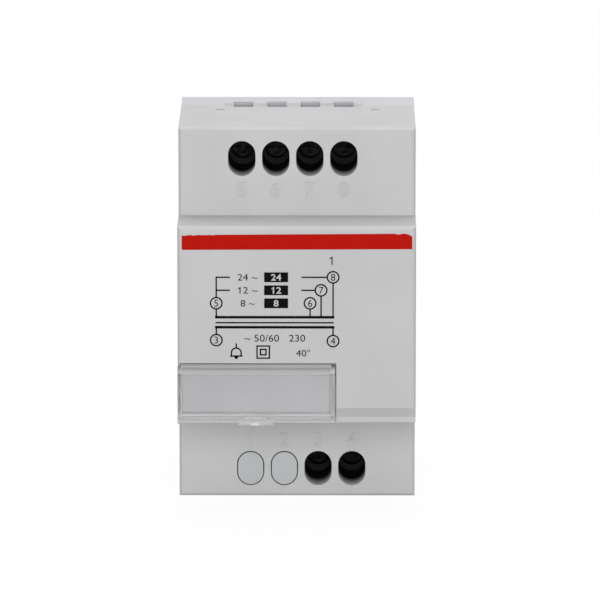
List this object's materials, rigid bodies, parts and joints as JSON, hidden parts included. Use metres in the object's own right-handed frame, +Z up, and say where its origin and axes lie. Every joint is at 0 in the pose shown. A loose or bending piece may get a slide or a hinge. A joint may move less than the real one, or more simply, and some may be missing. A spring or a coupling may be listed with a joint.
{
  "type": "doorbell transformer",
  "caption": "Rail-mounted bell transformer with stepped grey housing, red stripe, clear hinged label cover, lift terminals and sprung rail latch.",
  "frame": {"origin": "on the rail's front plane, at the middle of the rail seat and of the width", "axes": "+X to the right seen from the front, the front faces -Y, +Z up"},
  "size_m": [0.0537, 0.0649, 0.0855],
  "materials": {
    "grey_housing": "fine matt moulding",
    "latch_plastic": "fine matt moulding",
    "clear_plastic": "clear gloss",
    "black_plastic": "matt",
    "bobbin_plastic": "matt",
    "spring_steel": "drawn wire",
    "zinc_steel": "zinc plated",
    "tinned_brass": "tinned",
    "core_steel": "varnished laminations",
    "copper_wire": "enamelled",
    "yellow_tape": "polyester film"
  },
  "bodies": {
    "housing": {"rear_housing": "grey_housing", "front_cover": "grey_housing", "latch_spring": "spring_steel", "blanking_plug_1": "grey_housing", "blanking_plug_2": "grey_housing", "upper_carrier": "black_plastic", "lower_carrier": "black_plastic", "e_core": "core_steel", "i_yoke": "core_steel", "core_screws": "zinc_steel", "bobbin": "bobbin_plastic", "primary_winding": "copper_wire", "secondary_winding": "copper_wire", "primary_tape": "yellow_tape", "secondary_tape": "yellow_tape", "thermal_cutout": "black_plastic", "contact_plate_5": "tinned_brass", "contact_plate_6": "tinned_brass", "contact_plate_7": "tinned_brass", "contact_plate_8": "tinned_brass", "contact_plate_3": "tinned_brass", "contact_plate_4": "tinned_brass"},
    "label_flap": {"label_cover": "clear_plastic"},
    "latch": {"rail_latch": "latch_plastic"},
    "screw_5": {"terminal_screw_5": "zinc_steel"},
    "cage_5": {"clamp_cage_5": "zinc_steel"},
    "screw_6": {"terminal_screw_6": "zinc_steel"},
    "cage_6": {"clamp_cage_6": "zinc_steel"},
    "screw_7": {"terminal_screw_7": "zinc_steel"},
    "cage_7": {"clamp_cage_7": "zinc_steel"},
    "screw_8": {"terminal_screw_8": "zinc_steel"},
    "cage_8": {"clamp_cage_8": "zinc_steel"},
    "screw_3": {"terminal_screw_3": "zinc_steel"},
    "cage_3": {"clamp_cage_3": "zinc_steel"},
    "screw_4": {"terminal_screw_4": "zinc_steel"},
    "cage_4": {"clamp_cage_4": "zinc_steel"}
  },
  "joints": [
    {"name": "label_cover_hinge", "type": "hinge", "parent": "housing", "child": "label_flap", "pos_m": [-0.009, -0.0566, -0.0112], "axis": [-1, 0, 0], "range_deg": [0, 95]},
    {"name": "rail_latch_slide", "type": "slide", "parent": "housing", "child": "latch", "axis": [0, 0, -1], "range_m": [0, 0.005], "stiffness_N_per_m": 600, "springref_m": -0.003, "deforming": ["latch_spring"]},
    {"name": "screw_5_turn", "type": "hinge", "parent": "housing", "child": "screw_5", "pos_m": [-0.01246, -0.0205, 0.0355], "axis": [0, 1, 0], "range_deg": [0, 2160]},
    {"name": "cage_5_lift", "type": "slide", "parent": "housing", "child": "cage_5", "axis": [0, -1, 0], "range_m": [0, 0.0036]},
    {"name": "screw_6_turn", "type": "hinge", "parent": "housing", "child": "screw_6", "pos_m": [-0.00479, -0.0205, 0.0355], "axis": [0, 1, 0], "range_deg": [0, 2160]},
    {"name": "cage_6_lift", "type": "slide", "parent": "housing", "child": "cage_6", "axis": [0, -1, 0], "range_m": [0, 0.0036]},
    {"name": "screw_7_turn", "type": "hinge", "parent": "housing", "child": "screw_7", "pos_m": [0.00288, -0.0205, 0.0355], "axis": [0, 1, 0], "range_deg": [0, 2160]},
    {"name": "cage_7_lift", "type": "slide", "parent": "housing", "child": "cage_7", "axis": [0, -1, 0], "range_m": [0, 0.0036]},
    {"name": "screw_8_turn", "type": "hinge", "parent": "housing", "child": "screw_8", "pos_m": [0.01056, -0.0205, 0.0355], "axis": [0, 1, 0], "range_deg": [0, 2160]},
    {"name": "cage_8_lift", "type": "slide", "parent": "housing", "child": "cage_8", "axis": [0, -1, 0], "range_m": [0, 0.0036]},
    {"name": "screw_3_turn", "type": "hinge", "parent": "housing", "child": "screw_3", "pos_m": [0.00479, -0.0205, -0.036], "axis": [0, 1, 0], "range_deg": [0, 2160]},
    {"name": "cage_3_lift", "type": "slide", "parent": "housing", "child": "cage_3", "axis": [0, -1, 0], "range_m": [0, 0.0036]},
    {"name": "screw_4_turn", "type": "hinge", "parent": "housing", "child": "screw_4", "pos_m": [0.01246, -0.0205, -0.036], "axis": [0, 1, 0], "range_deg": [0, 2160]},
    {"name": "cage_4_lift", "type": "slide", "parent": "housing", "child": "cage_4", "axis": [0, -1, 0], "range_m": [0, 0.0036]}
  ],
  "couplings": [
    {"joint": "screw_5_turn", "follows": "cage_5_lift", "rad_per_m": 10472},
    {"joint": "screw_6_turn", "follows": "cage_6_lift", "rad_per_m": 10472},
    {"joint": "screw_7_turn", "follows": "cage_7_lift", "rad_per_m": 10472},
    {"joint": "screw_8_turn", "follows": "cage_8_lift", "rad_per_m": 10472},
    {"joint": "screw_3_turn", "follows": "cage_3_lift", "rad_per_m": 10472},
    {"joint": "screw_4_turn", "follows": "cage_4_lift", "rad_per_m": 10472}
  ]
}
